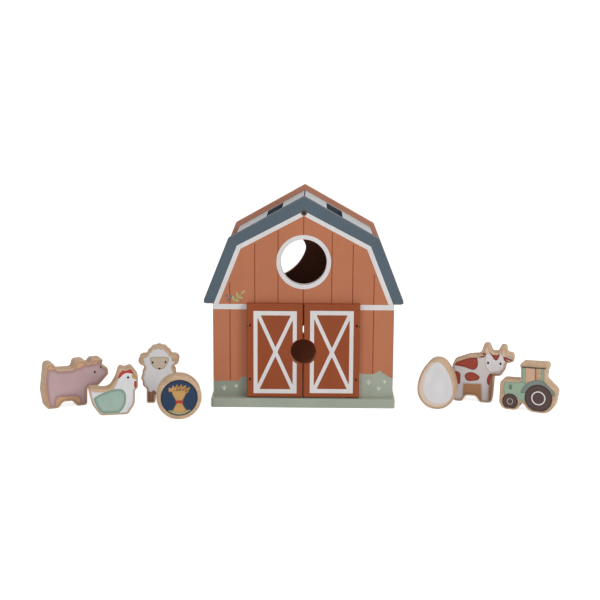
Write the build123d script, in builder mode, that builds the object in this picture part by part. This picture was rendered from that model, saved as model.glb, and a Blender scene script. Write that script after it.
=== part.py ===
"""Farm shape sorter: a wooden barn with swinging doors, and seven loose shape blocks.

Millimetres. +X is to the right seen from the front, +Y to the back, +Z up. The origin
is the middle of the base board's underside. Every hole that a block goes through is
the block's own outline, grown by one clearance.
"""
from build123d import *
from math import atan2, copysign, cos, radians, sin, tan
import os

os.makedirs("parts", exist_ok=True)

# Boards
board = 8.0
base_height = 10.2
base_edge_round = 1.2
base_corner_round = 3.0
barn_depth = 144.7
porch = 11.3
rear_step = 1.0
base_side_step = 2.0
side_inset = 1.0
edge_round = 1.0

# Gable outline
wall_half_width = 100.1
eave_z = 114.9
eave_overhang = 11.8
knee_x = 82.8
knee_z = 188.0
peak_z = 234.4
eave_round = 3.5
knee_round = 3.0
peak_round = 1.5

# Roof boards
roof_inset = 6.0
roof_board = 6.0
ridge_gap = 1.2
eave_lap = 3.0
slot_from_ridge = 29.2
slot_clearance = 3.1
slot_end_margin = 6.0
slot_corner_round = 2.0
ridge_rail_width = 16.0
ridge_rail_depth = 12.0

# Doors and doorway
door_thickness = 8.0
door_wall_gap = 1.0
door_floor_gap = 1.1
door_height = 105.5
door_half_span = 62.3
door_split = 1.3
door_edge_round = 1.2
finger_hole_radius = 13.95
finger_hole_rise = 51.8
doorway_side_lap = 12.8
doorway_top_lap = 10.7
doorway_round = 5.0

# Hinges: a steel pin through the door and two screw eyes on the wall
pin_radius = 0.9
pin_edge_distance = 2.2
pin_fit = 0.06
pin_top_drop = 0.8
pin_below_notch = 8.0
eye_radius = 1.95
eye_height = 2.2
eye_shank_radius = 0.95
eye_shank_bite = 6.0
notch_height = 3.2
notch_clearance = 0.35
lower_eye_rise = 20.6
upper_eye_drop = 24.0

# Plank grooves in the front wall
groove_places = (-81.3, -53.8, -28.2, -0.3, 30.9, 54.0, 77.4)
groove_width = 1.1
groove_depth = 0.6
trim_inset = 19.6

# Screws
screw_fit = 0.05
ridge_screw_head = 3.25
ridge_screw_shank = 1.6
ridge_screw_length = 24.0
ridge_screw_drop = 18.2
base_screw_head = 3.4
base_screw_shank = 1.5
base_screw_length = 26.0
base_screw_inset = 25.1
side_screw_inset = 24.35

# Loose blocks
block_thickness = 18.0
block_round = 1.6
sort_clearance = 1.2
round_diameter = 48.0
egg_width = 42.4
egg_height = 56.5
egg_tip_radius = 12.9
pig_length = 74.6
hen_length = 54.1
sheep_length = 45.2
cow_length = 70.0
tractor_length = 64.0

# Where the cut-outs sit: middle, foot height and tilt, seen from outside their wall
window_z = 161.8
egg_hole = (26.1, 150.4, 60.0)
pig_hole = (-36.0, 20.8)
hen_hole = (45.0, 30.0)
sheep_hole = (-51.0, 108.0)
cow_hole = (0.0, 30.0)
tractor_hole = (0.0, 33.0)

# Where the blocks stand: how far past the wall's edge (left is below zero), how far in
# front of the front wall, and the turn to the left seen from above
pig_spot = (-151.1, 12.6, 26.1)
hen_spot = (-104.4, 46.9, 12.3)
sheep_spot = (-61.4, -3.2, 3.6)
round_spot = (-7.6 - round_diameter / 2, 61.2, 8.7)
egg_spot = (47.0, 12.7, -16.7)
cow_spot = (102.0, -16.5, -12.3)
tractor_spot = (146.6, 19.2, -23.1)

# Derived places
base_depth = porch + barn_depth + rear_step
front_y = -base_depth / 2 + porch
rear_y = front_y + barn_depth
inner_front_y = front_y + board
inner_rear_y = rear_y - board
inner_depth = inner_rear_y - inner_front_y
middle_y = (front_y + rear_y) / 2
side_x = wall_half_width - side_inset
eave_half_width = wall_half_width + eave_overhang
slot_width = block_thickness + slot_clearance
upper_slope = atan2(peak_z - knee_z, knee_x)
lower_slope = atan2(knee_z - eave_z, eave_half_width - knee_x)
door_bottom = base_height + door_floor_gap
door_top = door_bottom + door_height
door_front_y = front_y - door_wall_gap - door_thickness
doorway_half_width = door_half_span - doorway_side_lap
doorway_top = door_top - doorway_top_lap
pin_x = door_half_span - pin_edge_distance
pin_y = front_y - door_wall_gap - door_thickness / 2
eye_heights = (door_bottom + lower_eye_rise, door_top - upper_eye_drop)

# Corners of each block's outline: across, up and the corner's radius
pig_corners = [
    (-34.0, 0.0, 5.0), (-20.5, 0.0, 3.5), (-15.0, 6.5, 5.0), (-3.5, 6.5, 5.0),
    (0.5, 0.0, 3.5), (12.0, 0.0, 3.5), (13.0, 20.0, 3.0), (25.0, 20.5, 5.0),
    (37.5, 33.0, 4.0), (36.5, 40.0, 3.0), (29.5, 44.5, 3.0), (32.5, 51.5, 3.0),
    (19.0, 51.5, 4.0), (14.5, 45.0, 2.6), (10.5, 52.0, 4.0), (0.0, 51.5, 4.0),
    (-2.5, 43.0, 3.0), (-19.5, 43.5, 3.5), (-25.5, 51.5, 3.5), (-33.0, 51.5, 4.5),
    (-37.0, 20.0, 20.0),
]
hen_corners = [
    (-14.0, 0.0, 6.0), (15.0, 0.0, 5.0), (22.5, 11.0, 12.0), (23.2, 26.0, 3.0),
    (26.6, 29.5, 2.4), (26.6, 42.5, 3.0), (19.5, 52.5, 3.0), (13.3, 50.0, 2.6),
    (7.0, 52.5, 3.0), (3.0, 40.0, 10.0), (-4.0, 28.0, 10.0), (-27.0, 30.5, 2.5),
    (-22.5, 12.0, 15.0),
]
cow_corners = [
    (-32.5, 0.0, 4.0), (-22.5, 0.0, 3.0), (-18.0, 7.0, 4.0), (-7.5, 7.0, 5.0),
    (-2.0, 0.0, 3.5), (11.5, 0.0, 5.0), (13.2, 31.5, 2.8), (20.0, 31.5, 6.0),
    (25.5, 40.0, 8.0), (26.0, 46.5, 2.6), (35.5, 49.5, 3.5), (33.0, 57.0, 3.0),
    (27.0, 57.5, 2.6), (25.5, 66.0, 3.0), (19.5, 65.5, 3.0), (16.2, 58.0, 2.6),
    (10.2, 58.0, 2.6), (6.5, 67.0, 3.0), (0.5, 66.5, 3.0), (-3.5, 54.5, 3.0),
    (-16.0, 53.0, 20.0), (-34.5, 46.0, 9.0),
]
tractor_corners = [
    (-30.0, 0.0, 9.0), (-9.5, 0.0, 7.0), (-6.5, 11.2, 2.8), (2.5, 0.0, 12.6),
    (27.0, 0.0, 13.0), (31.0, 24.2, 6.0), (18.2, 35.9, 3.0), (18.8, 43.8, 4.0),
    (22.0, 53.0, 3.5), (-9.8, 51.7, 3.2), (-7.8, 43.8, 4.0), (-7.6, 32.6, 3.0),
    (-29.5, 31.7, 5.0),
]


def sized(corners, length):
    """The outline's corners and radii, scaled so that it is this long across."""
    across = [corner[0] for corner in corners]
    ratio = length / (max(across) - min(across))
    return [(x * ratio, z * ratio, r * ratio) for x, z, r in corners]


def draw_corners(corners):
    """Closed outline with a rounded corner at each point, in the open sketch."""
    points = [(x, z) for x, z, r in corners]
    radii = [r for x, z, r in corners]
    with BuildLine() as outline:
        FilletPolyline(*points, radius=radii, close=True)
    make_face(outline.edges())


def draw_pig():
    draw_corners(sized(pig_corners, pig_length))


def draw_hen():
    draw_corners(sized(hen_corners, hen_length))


def draw_cow():
    draw_corners(sized(cow_corners, cow_length))


def draw_tractor():
    draw_corners(sized(tractor_corners, tractor_length))


def draw_round():
    with Locations((0, round_diameter / 2)):
        Circle(round_diameter / 2)


def draw_egg():
    """Four tangent arcs: a half circle below, two flat flanks and a small tip."""
    low = egg_width / 2
    tip_rise = egg_height - low - egg_tip_radius
    flank = (low**2 + tip_rise**2 - egg_tip_radius**2) / (2 * (low - egg_tip_radius))
    lean = atan2(tip_rise, flank - low)
    tip_x = egg_tip_radius * cos(lean)
    tip_z = low + tip_rise + egg_tip_radius * sin(lean)
    flank_x = flank * cos(lean / 2) - (flank - low)
    flank_z = low + flank * sin(lean / 2)
    with BuildLine() as outline:
        ThreePointArc((-low, low), (0, 0), (low, low))
        ThreePointArc((low, low), (flank_x, flank_z), (tip_x, tip_z))
        ThreePointArc((tip_x, tip_z), (0, egg_height), (-tip_x, tip_z))
        ThreePointArc((-tip_x, tip_z), (-flank_x, flank_z), (-low, low))
    make_face(outline.edges())


def draw_sheep():
    """Woolly outline: curls round the fleece and the head, two ears and two legs."""
    unit = sheep_length / 44.6
    closing = 2.8 * unit
    with Locations((0, 28.5 * unit)):
        Circle(17.0 * unit)
        with PolarLocations(14.6 * unit, 14):
            Circle(5.0 * unit)
    with Locations((0, 50.2 * unit)):
        Circle(11.5 * unit)
        with PolarLocations(9.8 * unit, 7, angular_range=180, endpoint=True):
            Circle(4.5 * unit)
    with Locations((-16.7 * unit, 48.3 * unit), (16.7 * unit, 48.3 * unit)):
        Circle(5.6 * unit)
    with Locations((-9.2 * unit, 9 * unit), (7.2 * unit, 9 * unit)):
        RectangleRounded(9.2 * unit, 18 * unit, 1.8 * unit)
    offset(amount=closing)
    offset(amount=-closing)


def front_plane(y, x=0, z=0):
    """Upright plane that faces the front, at this depth."""
    return Plane(origin=(x, y, z), x_dir=(1, 0, 0), z_dir=(0, -1, 0))


def outside_plane(facing):
    """Upright plane on the outside of a wall, with its first axis to a viewer's right."""
    places = {
        "rear": ((0, rear_y, 0), (-1, 0, 0), (0, 1, 0)),
        "left": ((-side_x, middle_y, 0), (0, -1, 0), (-1, 0, 0)),
        "right": ((side_x, middle_y, 0), (0, 1, 0), (1, 0, 0)),
    }
    origin, across, outwards = places[facing]
    return Plane(origin=origin, x_dir=across, z_dir=outwards)


def cut_hole(draw, plane, across, up, tilt=0):
    """Cut a block's outline, grown by the clearance, through the board being built."""
    spot = plane.from_local_coords((across, up, 0))
    lean = radians(tilt)
    along = plane.x_dir * cos(lean) + plane.y_dir * sin(lean)
    with BuildSketch(Plane(origin=spot, x_dir=along, z_dir=plane.z_dir)) as hole:
        draw()
        offset(amount=sort_clearance)
    extrude(hole.sketch, amount=2 * board, both=True, mode=Mode.SUBTRACT)


def roof_knee(inset):
    """Where the two roof slopes meet, this far inside the gable outline."""
    reach = inset / (1 + cos(lower_slope - upper_slope))
    x = knee_x - reach * (sin(upper_slope) + sin(lower_slope))
    z = knee_z - reach * (cos(upper_slope) + cos(lower_slope))
    return x, z


def upper_slope_z(inset, x):
    """Height of the upper slope, this far inside the gable outline."""
    return peak_z - inset / cos(upper_slope) - abs(x) * tan(upper_slope)


def lower_slope_z(inset, x):
    """Height of the lower slope, this far inside the gable outline."""
    knee = roof_knee(inset)
    return knee[1] - (abs(x) - knee[0]) * tan(lower_slope)


def lower_slope_x(inset, z):
    """Half width between the lower slopes, this far inside the gable outline."""
    knee = roof_knee(inset)
    return knee[0] + (knee[1] - z) / tan(lower_slope)


def gable_board(plane):
    """One end board of the barn: straight walls, eaves and a broken-back gable."""
    corners = [
        (wall_half_width, base_height, 0), (wall_half_width, eave_z, 0),
        (eave_half_width, eave_z, eave_round), (knee_x, knee_z, knee_round),
        (0, peak_z, peak_round),
        (-knee_x, knee_z, knee_round), (-eave_half_width, eave_z, eave_round),
        (-wall_half_width, eave_z, 0), (-wall_half_width, base_height, 0),
    ]
    with BuildSketch(plane) as gable:
        draw_corners(corners)
    extrude(gable.sketch, amount=-board)
    rim = edges().filter_by(Axis.Y, reverse=True)
    fillet(rim.filter_by(lambda edge: edge.center().Z > base_height + edge_round), edge_round)


def screw_holes(places, radius, depth):
    """Pilot holes up into the board's underside."""
    with BuildSketch(Plane.XY.offset(base_height)) as pilots:
        with Locations(*places):
            Circle(radius + screw_fit)
    extrude(pilots.sketch, amount=depth, mode=Mode.SUBTRACT)


# Base board
base_screw_bite = base_screw_length - base_height
base_screw_spread = wall_half_width - base_screw_inset
side_screw_spread = inner_depth / 2 - side_screw_inset
front_screws = [(x, front_y + board / 2) for x in (-base_screw_spread, base_screw_spread)]
rear_screws = [(x, rear_y - board / 2) for x, y in front_screws]
left_screws = [(-side_x + board / 2, middle_y + y) for y in (-side_screw_spread, side_screw_spread)]
right_screws = [(-x, y) for x, y in left_screws]
all_screws = front_screws + rear_screws + left_screws + right_screws

with BuildPart() as base_plate:
    with BuildSketch():
        RectangleRounded(2 * (wall_half_width + base_side_step), base_depth, base_corner_round)
    extrude(amount=base_height)
    fillet(faces().sort_by(Axis.Z)[-1].edges(), base_edge_round)
    with Locations(*[Plane(origin=(x, y, 0), z_dir=(0, 0, -1)) for x, y in all_screws]):
        CounterSinkHole(base_screw_shank + screw_fit, base_screw_head + screw_fit, base_height, 90)

with BuildPart() as base_screws:
    for x, y in all_screws:
        with BuildSketch(front_plane(y, x)):
            with BuildLine():
                Polyline(
                    (0, 0), (base_screw_head, 0),
                    (base_screw_shank, base_screw_head - base_screw_shank),
                    (base_screw_shank, base_screw_length - 2 * base_screw_shank),
                    (0, base_screw_length), close=True,
                )
            make_face()
        revolve(axis=Axis((x, y, 0), (0, 0, 1)))

# Front wall
ridge_screw_z = peak_z - ridge_screw_drop

with BuildPart() as front_wall:
    gable_board(front_plane(front_y))
    with BuildSketch(front_plane(front_y)):
        with Locations((0, window_z)):
            Circle(round_diameter / 2 + sort_clearance)
    extrude(amount=-board, mode=Mode.SUBTRACT)
    with BuildSketch(front_plane(front_y)):
        draw_corners([
            (-doorway_half_width, base_height, 0), (doorway_half_width, base_height, 0),
            (doorway_half_width, doorway_top, doorway_round),
            (-doorway_half_width, doorway_top, doorway_round),
        ])
    extrude(amount=-board, mode=Mode.SUBTRACT)
    for x in groove_places:
        groove_foot = base_height if abs(x) > door_half_span else doorway_top + board
        groove_top = min(upper_slope_z(trim_inset, x), lower_slope_z(trim_inset, x))
        with BuildSketch(Plane.XY.offset(groove_foot)):
            with BuildLine():
                Polyline(
                    (x - groove_width / 2, front_y), (x, front_y + groove_depth),
                    (x + groove_width / 2, front_y), close=True,
                )
            make_face()
        extrude(amount=groove_top - groove_foot, mode=Mode.SUBTRACT)
    with BuildSketch(front_plane(front_y)):
        with Locations(*[(side * pin_x, z) for side in (-1, 1) for z in eye_heights]):
            Circle(eye_shank_radius + screw_fit)
    extrude(amount=-eye_shank_bite, mode=Mode.SUBTRACT)
    with Locations(front_plane(front_y, z=ridge_screw_z)):
        CounterSinkHole(ridge_screw_shank + screw_fit, ridge_screw_head + screw_fit, board, 90)
    screw_holes(front_screws, base_screw_shank, base_screw_bite)

# Rear wall
with BuildPart() as rear_wall:
    gable_board(front_plane(inner_rear_y))
    rear_plane = outside_plane("rear")
    for draw, (across, up) in (
        (draw_pig, pig_hole), (draw_hen, hen_hole), (draw_sheep, sheep_hole),
    ):
        cut_hole(draw, rear_plane, across, up)
    egg_tilt = radians(egg_hole[2])
    egg_foot_x = egg_hole[0] + egg_height / 2 * sin(egg_tilt)
    egg_foot_z = egg_hole[1] - egg_height / 2 * cos(egg_tilt)
    cut_hole(draw_egg, rear_plane, egg_foot_x, egg_foot_z, egg_hole[2])
    with Locations(Plane(origin=(0, rear_y, ridge_screw_z), z_dir=(0, 1, 0))):
        CounterSinkHole(ridge_screw_shank + screw_fit, ridge_screw_head + screw_fit, board, 90)
    screw_holes(rear_screws, base_screw_shank, base_screw_bite)


def side_wall(side, facing, draw, place, screws):
    """A side board, bevelled on top to carry the lower roof board."""
    under_roof = roof_inset + roof_board
    outer_top = lower_slope_z(under_roof, side_x)
    inner_top = lower_slope_z(under_roof, side_x - board)
    with BuildPart() as wall:
        with BuildSketch(front_plane(inner_front_y)):
            with BuildLine():
                Polyline(
                    (side * side_x, base_height), (side * side_x, outer_top),
                    (side * (side_x - board), inner_top), (side * (side_x - board), base_height),
                    close=True,
                )
            make_face()
        extrude(amount=-inner_depth)
        cut_hole(draw, outside_plane(facing), *place)
        screw_holes(screws, base_screw_shank, base_screw_bite)
    return wall


left_wall = side_wall(-1, "left", draw_cow, cow_hole, left_screws)
right_wall = side_wall(1, "right", draw_tractor, tractor_hole, right_screws)


def roof_slab(points):
    """A roof board between the end boards, from its cross-section."""
    with BuildSketch(front_plane(inner_front_y)) as section:
        with BuildLine():
            Polyline(*points, close=True)
        make_face()
    extrude(section.sketch, amount=-inner_depth)


def upper_roof(side):
    """Upper roof board, with its long slot along the ridge."""
    under = roof_inset + roof_board
    edge_x = ridge_gap / 2
    knee_out = roof_knee(roof_inset)
    knee_in = roof_knee(under)
    slot_middle = slot_from_ridge + slot_width / 2
    slot_x = slot_middle * cos(upper_slope)
    with BuildPart() as roof:
        roof_slab([
            (side * edge_x, upper_slope_z(roof_inset, edge_x)), (side * knee_out[0], knee_out[1]),
            (side * knee_in[0], knee_in[1]), (side * edge_x, upper_slope_z(under, edge_x)),
        ])
        slot_plane = Plane(
            origin=(side * slot_x, middle_y, upper_slope_z(roof_inset, slot_x)),
            x_dir=(0, 1, 0), z_dir=(side * sin(upper_slope), 0, cos(upper_slope)),
        )
        with BuildSketch(slot_plane):
            RectangleRounded(inner_depth - 2 * slot_end_margin, slot_width, slot_corner_round)
        extrude(amount=2 * roof_board, both=True, mode=Mode.SUBTRACT)
    return roof


def lower_roof(side):
    """Steep roof board from the knee down past the top of the side wall."""
    under = roof_inset + roof_board
    foot_z = eave_z + eave_lap
    knee_out = roof_knee(roof_inset)
    knee_in = roof_knee(under)
    with BuildPart() as roof:
        roof_slab([
            (side * knee_out[0], knee_out[1]), (side * lower_slope_x(roof_inset, foot_z), foot_z),
            (side * lower_slope_x(under, foot_z), foot_z), (side * knee_in[0], knee_in[1]),
        ])
    return roof


left_upper_roof = upper_roof(-1)
right_upper_roof = upper_roof(1)
left_lower_roof = lower_roof(-1)
right_lower_roof = lower_roof(1)

# Ridge rail under the two upper roof boards, held by a screw at each end
rail_under = roof_inset + roof_board
rail_half = ridge_rail_width / 2
rail_bottom = upper_slope_z(rail_under, 0) - ridge_rail_depth

with BuildPart() as ridge_rail:
    roof_slab([
        (0, upper_slope_z(rail_under, 0)), (rail_half, upper_slope_z(rail_under, rail_half)),
        (rail_half, rail_bottom), (-rail_half, rail_bottom),
        (-rail_half, upper_slope_z(rail_under, rail_half)),
    ])
    for y, inwards in ((inner_front_y, -1), (inner_rear_y, 1)):
        with BuildSketch(front_plane(y)):
            with Locations((0, ridge_screw_z)):
                Circle(ridge_screw_shank + screw_fit)
        extrude(amount=inwards * ridge_screw_length, mode=Mode.SUBTRACT)


def ridge_screw(y, inwards):
    """Countersunk screw, its head flush with the end board."""
    head_depth = ridge_screw_head - ridge_screw_shank
    with BuildSketch(Plane.XY.offset(ridge_screw_z)) as section:
        with BuildLine():
            Polyline(
                (0, y), (ridge_screw_head, y), (ridge_screw_shank, y + inwards * head_depth),
                (ridge_screw_shank, y + inwards * (ridge_screw_length - 2 * ridge_screw_shank)),
                (0, y + inwards * ridge_screw_length), close=True,
            )
        make_face()
    revolve(section.sketch, axis=Axis((0, 0, ridge_screw_z), (0, 1, 0)))


with BuildPart() as ridge_screws:
    ridge_screw(front_y, 1)
    ridge_screw(rear_y, -1)


def door(side):
    """One barn door: pin bore and notches at the outer edge, half a finger hole inside."""
    inner_x = door_split / 2
    notch_reach = eye_radius + notch_clearance
    with BuildPart() as leaf:
        with BuildSketch(front_plane(door_front_y)):
            with Locations((side * (inner_x + door_half_span) / 2, (door_bottom + door_top) / 2)):
                Rectangle(door_half_span - inner_x, door_height)
            with Locations((0, door_bottom + finger_hole_rise)):
                Circle(finger_hole_radius, mode=Mode.SUBTRACT)
        extrude(amount=-door_thickness)
        fillet(edges().filter_by(Axis.Y, reverse=True), door_edge_round)
        with BuildSketch(Plane.XY.offset(door_top)):
            with Locations((side * pin_x, pin_y)):
                Circle(pin_radius + pin_fit)
        bore_depth = door_top - eye_heights[0] + notch_height / 2 + pin_below_notch
        extrude(amount=-bore_depth, mode=Mode.SUBTRACT)
        for z in eye_heights:
            with BuildSketch(front_plane(front_y)):
                with Locations((side * (pin_x + notch_reach), z)):
                    Rectangle(4 * notch_reach, notch_height)
            extrude(amount=2 * door_thickness, mode=Mode.SUBTRACT)
    return leaf


def hinge_pin(side):
    """Steel pin, dropped in from the top of the door."""
    foot = eye_heights[0] - notch_height / 2 - pin_below_notch
    length = door_top - pin_top_drop - foot
    with BuildPart() as pin:
        with BuildSketch(Plane.XY.offset(foot)):
            with Locations((side * pin_x, pin_y)):
                Circle(pin_radius)
        extrude(amount=length)
        chamfer(pin.edges(), pin_radius / 3)
    return pin


def hinge_eyes(side):
    """Two screw eyes: a ring round the pin and a shank into the front wall."""
    with BuildPart() as eyes:
        for z in eye_heights:
            with BuildSketch(Plane.XY.offset(z - eye_height / 2)):
                with Locations((side * pin_x, pin_y)):
                    Circle(eye_radius)
            extrude(amount=eye_height)
            with BuildSketch(front_plane(pin_y)):
                with Locations((side * pin_x, z)):
                    Circle(eye_shank_radius)
            extrude(amount=-(front_y - pin_y + eye_shank_bite))
        with BuildSketch(Plane.XY):
            with Locations((side * pin_x, pin_y)):
                Circle(pin_radius + pin_fit)
        extrude(amount=peak_z, mode=Mode.SUBTRACT)
    return eyes


left_door = door(-1)
right_door = door(1)
left_hinge_pin = hinge_pin(-1)
right_hinge_pin = hinge_pin(1)
left_hinge_eyes = hinge_eyes(-1)
right_hinge_eyes = hinge_eyes(1)


def block(draw, spot):
    """A loose block standing at its spot, with its edges rounded."""
    beyond, ahead, turn = spot
    x = beyond + copysign(wall_half_width, beyond)
    y = front_y - ahead
    across = (cos(radians(turn)), sin(radians(turn)), 0)
    outwards = (sin(radians(turn)), -cos(radians(turn)), 0)
    face_plane = Plane(origin=(x, y, 0), x_dir=across, z_dir=outwards)
    with BuildPart() as piece:
        with BuildSketch(face_plane):
            draw()
        extrude(amount=-block_thickness)
        flat_faces = faces().filter_by(face_plane)
        fillet(flat_faces.edges(), block_round)
    return piece


pig_block = block(draw_pig, pig_spot)
hen_block = block(draw_hen, hen_spot)
sheep_block = block(draw_sheep, sheep_spot)
round_block = block(draw_round, round_spot)
egg_block = block(draw_egg, egg_spot)
cow_block = block(draw_cow, cow_spot)
tractor_block = block(draw_tractor, tractor_spot)

pieces = {
    "base_plate": base_plate,
    "base_screws": base_screws,
    "front_wall": front_wall,
    "rear_wall": rear_wall,
    "left_wall": left_wall,
    "right_wall": right_wall,
    "left_upper_roof": left_upper_roof,
    "right_upper_roof": right_upper_roof,
    "left_lower_roof": left_lower_roof,
    "right_lower_roof": right_lower_roof,
    "ridge_rail": ridge_rail,
    "ridge_screws": ridge_screws,
    "left_door": left_door,
    "right_door": right_door,
    "left_hinge_pin": left_hinge_pin,
    "right_hinge_pin": right_hinge_pin,
    "left_hinge_eyes": left_hinge_eyes,
    "right_hinge_eyes": right_hinge_eyes,
    "pig_block": pig_block,
    "hen_block": hen_block,
    "sheep_block": sheep_block,
    "round_block": round_block,
    "egg_block": egg_block,
    "cow_block": cow_block,
    "tractor_block": tractor_block,
}
for name, piece in pieces.items():
    piece.part.label = name
    export_step(piece.part, f"parts/{name}.step")
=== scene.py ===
"""Render of the farm shape sorter: paint, wood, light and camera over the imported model.

Drawings are in millimetres on the face that they are painted on, across and up. The
scene itself is in metres, with +X to the right, +Y to the back and +Z up. The calls
at the end paint the barn and its blocks one after another, and then light them.
"""
import bpy
import math
import numpy as np
from collections import namedtuple
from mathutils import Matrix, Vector
from mathutils.geometry import delaunay_2d_cdt


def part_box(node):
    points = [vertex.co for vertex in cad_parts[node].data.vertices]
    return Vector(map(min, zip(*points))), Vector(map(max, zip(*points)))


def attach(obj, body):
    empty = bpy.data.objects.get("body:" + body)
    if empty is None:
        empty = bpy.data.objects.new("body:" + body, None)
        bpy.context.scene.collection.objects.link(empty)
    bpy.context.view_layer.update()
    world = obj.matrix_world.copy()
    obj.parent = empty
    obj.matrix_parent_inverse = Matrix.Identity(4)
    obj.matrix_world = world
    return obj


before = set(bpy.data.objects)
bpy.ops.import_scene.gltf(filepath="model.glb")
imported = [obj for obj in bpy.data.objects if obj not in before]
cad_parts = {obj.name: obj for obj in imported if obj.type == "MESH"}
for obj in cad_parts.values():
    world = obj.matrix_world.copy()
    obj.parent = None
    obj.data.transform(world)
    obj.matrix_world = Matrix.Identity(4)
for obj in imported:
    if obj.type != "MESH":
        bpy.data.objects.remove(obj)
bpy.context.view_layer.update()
MM = 0.001

# Camera
scene = bpy.context.scene
camera = bpy.data.objects.new("camera", bpy.data.cameras.new("camera"))
scene.collection.objects.link(camera)
scene.camera = camera
scene.view_settings.view_transform = "Standard"
camera.data.sensor_width = 36.0
camera.data.lens = 73.288
camera.location = (0.01096, -1.38943, 0.37151)
camera.rotation_euler = (math.radians(79.218), math.radians(-0.298), math.radians(0.7))


def in_mm(metres):
    """A place in the frame in millimetres, to a hundredth."""
    return round(metres / MM, 2)


# Barn sizes that the frame gives
FRONT_Y = in_mm(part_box("front_wall")[0].y)
DOOR_Y = in_mm(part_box("left_door")[0].y)
DOOR_HALF = in_mm(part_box("right_door")[1].x)
BASE_TOP = in_mm(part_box("base_plate")[1].z)
SCREW_Z = in_mm((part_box("ridge_screws")[0].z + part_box("ridge_screws")[1].z) / 2)

# Barn sizes that the frame doesn't give: the gable's corners before rounding, and round holes
WALL_HALF = 100.1
EAVE_Z = 114.9
EAVE_HALF = 111.9
KNEE = (82.8, 188.0)
PEAK_Z = 234.4
ROOF_MIDDLE = 9.0
WINDOW_Z = 161.8
WINDOW_R = 25.2
HAND_HOLE_Z = 63.1
HAND_HOLE_R = 13.95
UPPER = math.atan2(PEAK_Z - KNEE[1], KNEE[0])
LOWER = math.atan2(KNEE[1] - EAVE_Z, EAVE_HALF - KNEE[0])

# Painted parts of the barn. Pairs say how far inside the roof line, at ridge and knee
BAND_OUTER = (0.8, 0.8)
BAND_INNER = (14.2, 11.9)
BAND_LOW = EAVE_Z + 1.0
BAND_UNDER_EAVE = EAVE_Z - 0.8
TRIM_INNER = (18.8, 16.9)
TRIM_LOW = 108.8
TRIM_HIGH = TRIM_LOW + 5.9
TRIM_START = DOOR_HALF - 8
TRIM_END = WALL_HALF - 0.9
RING_INNER = WINDOW_R + 0.15
RING_OUTER = 30.0
RING_REACH = WINDOW_R + 2
SCREW_GAP_R = 3.4
SIDE_EDGE = 98.9
GRASS_FOOT = BASE_TOP + 0.2
GRASS_AT_EDGE = 30
GRASS_LEAST = 10
GRASS_WAVE = 34
INDOORS = 30

# Sheets of paint: how high the first layer's rim lies above the wood, how much higher each
# further layer lies, and how much a sheet rises from its rim, over what width
RIM_LIFT = 0.03
LAYER_LIFT = 0.07
RIM_RISE = 0.06
RIM_WIDTH = 0.5

# Spacing of the points in a sheet of paint, and of the grid on which loops are combined.
# A loop of no more points than a speck is dropped
SHEET_STEP = 1.4
LOOP_STEP = 0.45
FINE_STEP = 0.2
SPECK = 5

Face = namedtuple("Face", "origin across outwards")


# Colours and shader nodes
def linear(red, green, blue):
    """A colour for a shader, from its screen values between 0 and 255."""
    parts = [v / 255 for v in (red, green, blue)]
    parts = [v / 12.92 if v <= 0.04045 else ((v + 0.055) / 1.055) ** 2.4 for v in parts]
    return (*parts, 1.0)


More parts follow.
